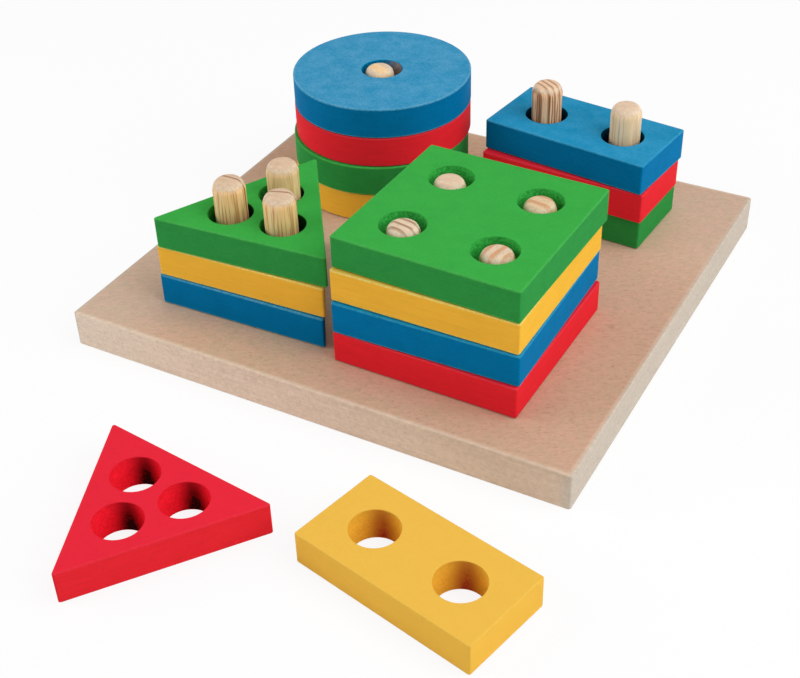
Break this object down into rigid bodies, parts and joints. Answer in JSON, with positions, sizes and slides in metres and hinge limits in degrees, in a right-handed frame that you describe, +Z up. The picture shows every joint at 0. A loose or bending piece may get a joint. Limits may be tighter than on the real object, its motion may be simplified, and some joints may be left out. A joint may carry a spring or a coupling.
{
  "type": "wooden shape board",
  "caption": "Wooden board with dowel pegs that carry stacks of bored, painted square, round, triangular and rectangular blocks.",
  "frame": {"origin": "middle of the board's underside, on the surface that the toy stands on", "axes": "+Z up along the pegs, +Y from the board's front edge to its back edge, +X to the right along the front edge; the two loose blocks lie in front, at -Y"},
  "size_m": [0.249, 0.3529, 0.0791],
  "materials": {
    "board_wood": "bare pinkish fibreboard under a thin matte clear coat",
    "peg_wood": "bare pine dowel, sanded, with growth rings on the ends",
    "green_paint": "satin green paint on fibreboard",
    "yellow_paint": "satin amber yellow paint on fibreboard",
    "blue_paint": "satin blue paint on fibreboard",
    "red_paint": "satin red paint on fibreboard"
  },
  "bodies": {
    "board_and_pegs": {"board": "board_wood", "disc_peg": "peg_wood", "square_peg_1": "peg_wood", "square_peg_2": "peg_wood", "square_peg_3": "peg_wood", "square_peg_4": "peg_wood", "rectangle_peg_1": "peg_wood", "rectangle_peg_2": "peg_wood", "triangle_peg_1": "peg_wood", "triangle_peg_2": "peg_wood", "triangle_peg_3": "peg_wood"},
    "red_square_block": {"square_red": "red_paint"},
    "blue_square_block": {"square_blue": "blue_paint"},
    "yellow_square_block": {"square_yellow": "yellow_paint"},
    "green_square_block": {"square_green": "green_paint"},
    "yellow_disc_block": {"disc_yellow": "yellow_paint"},
    "green_disc_block": {"disc_green": "green_paint"},
    "red_disc_block": {"disc_red": "red_paint"},
    "blue_disc_block": {"disc_blue": "blue_paint"},
    "green_rectangle_block": {"rectangle_green": "green_paint"},
    "red_rectangle_block": {"rectangle_red": "red_paint"},
    "blue_rectangle_block": {"rectangle_blue": "blue_paint"},
    "yellow_rectangle_block": {"rectangle_yellow": "yellow_paint"},
    "blue_triangle_block": {"triangle_blue": "blue_paint"},
    "yellow_triangle_block": {"triangle_yellow": "yellow_paint"},
    "green_triangle_block": {"triangle_green": "green_paint"},
    "red_triangle_block": {"triangle_red": "red_paint"}
  },
  "joints": [
    {"name": "red_square_lift", "type": "slide", "parent": "board_and_pegs", "child": "red_square_block", "axis": [0, 0, 1], "range_m": [0, 0.066]},
    {"name": "blue_square_lift", "type": "slide", "parent": "red_square_block", "child": "blue_square_block", "axis": [0, 0, 1], "range_m": [0, 0.051]},
    {"name": "yellow_square_lift", "type": "slide", "parent": "blue_square_block", "child": "yellow_square_block", "axis": [0, 0, 1], "range_m": [0, 0.036]},
    {"name": "green_square_lift", "type": "slide", "parent": "yellow_square_block", "child": "green_square_block", "axis": [0, 0, 1], "range_m": [0, 0.021]},
    {"name": "yellow_disc_lift", "type": "slide", "parent": "board_and_pegs", "child": "yellow_disc_block", "axis": [0, 0, 1], "range_m": [0, 0.0655]},
    {"name": "green_disc_lift", "type": "slide", "parent": "yellow_disc_block", "child": "green_disc_block", "axis": [0, 0, 1], "range_m": [0, 0.0505]},
    {"name": "red_disc_lift", "type": "slide", "parent": "green_disc_block", "child": "red_disc_block", "axis": [0, 0, 1], "range_m": [0, 0.0355]},
    {"name": "blue_disc_lift", "type": "slide", "parent": "red_disc_block", "child": "blue_disc_block", "axis": [0, 0, 1], "range_m": [0, 0.0205]},
    {"name": "green_rectangle_lift", "type": "slide", "parent": "board_and_pegs", "child": "green_rectangle_block", "axis": [0, 0, 1], "range_m": [0, 0.0665]},
    {"name": "red_rectangle_lift", "type": "slide", "parent": "green_rectangle_block", "child": "red_rectangle_block", "axis": [0, 0, 1], "range_m": [0, 0.0515]},
    {"name": "blue_rectangle_lift", "type": "slide", "parent": "red_rectangle_block", "child": "blue_rectangle_block", "axis": [0, 0, 1], "range_m": [0, 0.0365]},
    {"name": "blue_triangle_lift", "type": "slide", "parent": "board_and_pegs", "child": "blue_triangle_block", "axis": [0, 0, 1], "range_m": [0, 0.0655]},
    {"name": "yellow_triangle_lift", "type": "slide", "parent": "blue_triangle_block", "child": "yellow_triangle_block", "axis": [0, 0, 1], "range_m": [0, 0.0505]},
    {"name": "green_triangle_lift", "type": "slide", "parent": "yellow_triangle_block", "child": "green_triangle_block", "axis": [0, 0, 1], "range_m": [0, 0.0355]},
    {"name": "yellow_rectangle_lift", "type": "slide", "parent": "board_and_pegs", "child": "yellow_rectangle_block", "axis": [0, 0, 1], "range_m": [0, 0.0845]},
    {"name": "red_triangle_lift", "type": "slide", "parent": "board_and_pegs", "child": "red_triangle_block", "axis": [0, 0, 1], "range_m": [0, 0.0845]}
  ]
}
